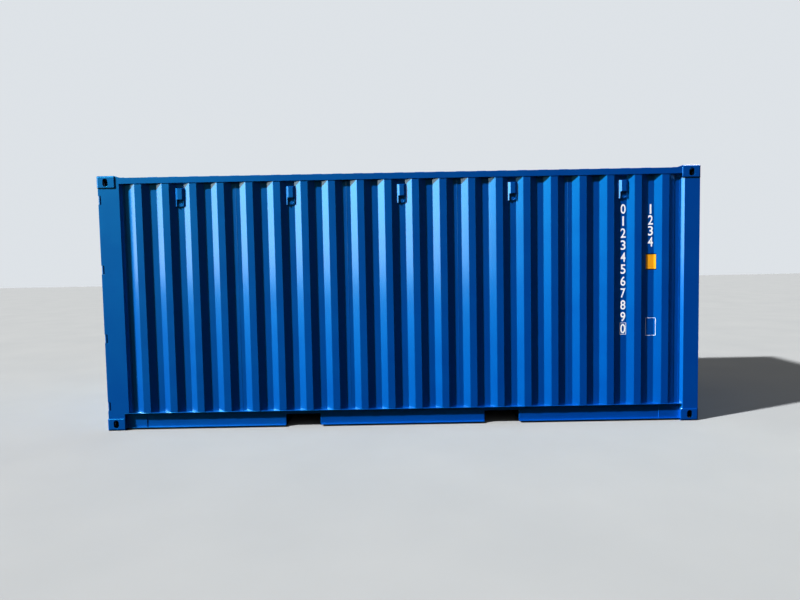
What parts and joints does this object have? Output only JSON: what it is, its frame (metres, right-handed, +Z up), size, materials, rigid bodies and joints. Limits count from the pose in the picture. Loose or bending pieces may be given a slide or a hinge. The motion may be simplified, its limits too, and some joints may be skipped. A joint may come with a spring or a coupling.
{
  "type": "20 foot dry freight container",
  "caption": "Corrugated steel shipping container of standard size with two hinged end doors, a plywood floor and fork pockets.",
  "frame": {"origin": "middle of the footprint, on the plane that the four bottom corner castings stand on", "axes": "+X along the length from the door end to the closed front end, +Y across, +Z up; the pictured side is the -Y side"},
  "size_m": [6.058, 2.438, 2.591],
  "materials": {
    "blue_paint": "factory-sprayed gloss blue enamel on steel",
    "galvanised_gear": "hot-dip galvanised steel locking gear",
    "seal_rubber": "extruded black rubber door seal",
    "floor_plywood": "varnished hardwood plywood floor",
    "marking_white": null,
    "marking_yellow": "bare yellow plate with a dark border"
  },
  "bodies": {
    "container": {"rear_bottom_castings": "blue_paint", "rear_top_castings": "blue_paint", "front_bottom_castings": "blue_paint", "front_top_castings": "blue_paint", "rear_corner_posts": "blue_paint", "rear_post_channels": "blue_paint", "front_corner_posts": "blue_paint", "top_side_rails": "blue_paint", "bottom_side_rails": "blue_paint", "rail_end_plates": "blue_paint", "near_side_wall": "blue_paint", "far_side_wall": "blue_paint", "front_wall": "blue_paint", "roof_sheet": "blue_paint", "roof_corner_plates": "blue_paint", "front_header": "blue_paint", "front_sill": "blue_paint", "door_header": "blue_paint", "door_sill": "blue_paint", "cross_members": "blue_paint", "fork_pockets": "blue_paint", "plywood_floor": "floor_plywood", "floor_side_angles": "blue_paint", "side_vents": "blue_paint", "door_hinge_pins": "blue_paint", "header_keepers": "blue_paint", "sill_keepers": "blue_paint"},
    "near_door": {"near_door_frame": "blue_paint", "near_door_panel": "blue_paint", "near_door_hinges": "blue_paint", "near_door_seal": "seal_rubber", "near_door_bars": "galvanised_gear", "near_door_brackets": "galvanised_gear", "near_door_handles": "galvanised_gear", "near_door_catches": "galvanised_gear"},
    "far_door": {"far_door_frame": "blue_paint", "far_door_panel": "blue_paint", "far_door_hinges": "blue_paint", "far_door_seal": "seal_rubber", "far_door_bars": "galvanised_gear", "far_door_brackets": "galvanised_gear", "far_door_handles": "galvanised_gear", "far_door_catches": "galvanised_gear"}
  },
  "joints": [
    {"name": "near_door_hinge", "type": "hinge", "parent": "container", "child": "near_door", "pos_m": [-3.008, -1.198, 1.3], "axis": [0, 0, 1], "range_deg": [0, 261]},
    {"name": "far_door_hinge", "type": "hinge", "parent": "container", "child": "far_door", "pos_m": [-3.008, 1.198, 1.3], "axis": [0, 0, -1], "range_deg": [0, 261]}
  ]
}
